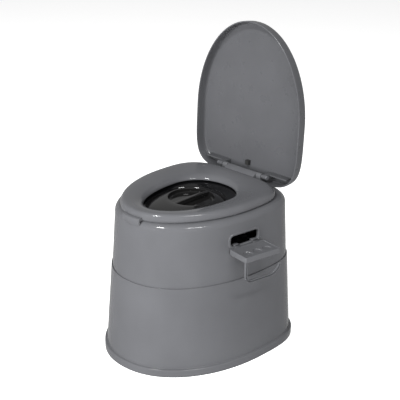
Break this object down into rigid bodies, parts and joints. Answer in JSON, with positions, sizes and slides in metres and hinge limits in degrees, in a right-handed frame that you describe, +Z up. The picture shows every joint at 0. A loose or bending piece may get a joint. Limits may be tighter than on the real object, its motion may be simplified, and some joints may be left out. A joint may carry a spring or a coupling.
{
  "type": "portable camp toilet",
  "caption": "Portable camp toilet: a two-part tapered body with carrying slots, a hinged seat and lid over a lidded inner bucket, and a hook-on roll holder.",
  "frame": {"origin": "middle of the whole object's footprint, on the floor", "axes": "+Z up, the front of the toilet towards -Y, the hinge line along X, the roll holder on the +X side"},
  "size_m": [0.4258, 0.4502, 0.7395],
  "materials": {
    "body_grey": "mid grey moulded plastic, satin",
    "lid_grey": "mid grey moulded plastic, satin",
    "bucket_black": "gloss black moulded plastic",
    "rubber": "matt black rubber",
    "pin_grey": "grey plastic"
  },
  "bodies": {
    "base": {"lower_shell": "body_grey", "foot_pad_1": "rubber", "foot_pad_2": "rubber", "foot_pad_3": "rubber", "foot_pad_4": "rubber"},
    "body": {"upper_shell": "body_grey", "hinge_pin_right": "pin_grey", "hinge_pin_left": "pin_grey", "bucket": "bucket_black"},
    "bucket_top": {"bucket_lid": "bucket_black", "bucket_lid_seal": "rubber"},
    "seat": {"seat": "body_grey", "seat_buffer_1": "rubber", "seat_buffer_2": "rubber", "seat_buffer_3": "rubber", "seat_buffer_4": "rubber"},
    "lid": {"lid": "lid_grey", "lid_bumper": "rubber"},
    "roll_holder": {"roll_shelf": "body_grey", "roll_bar": "body_grey"}
  },
  "joints": [
    {"name": "upper_lift", "type": "slide", "parent": "base", "child": "body", "axis": [0, 0, 1], "range_m": [0, 0.05]},
    {"name": "lid_hinge", "type": "hinge", "parent": "body", "child": "lid", "pos_m": [-0.02074, 0.17025, 0.381], "axis": [-1, 0, 0], "range_deg": [-92.2, 0]},
    {"name": "seat_hinge", "type": "hinge", "parent": "body", "child": "seat", "pos_m": [-0.02074, 0.17025, 0.381], "axis": [-1, 0, 0], "range_deg": [0, 88]},
    {"name": "bucket_lid_lift", "type": "slide", "parent": "body", "child": "bucket_top", "axis": [0, 0, 1], "range_m": [0, 0.15]},
    {"name": "roll_holder_lift", "type": "slide", "parent": "body", "child": "roll_holder", "axis": [0, 0, 1], "range_m": [0, 0.014]}
  ]
}
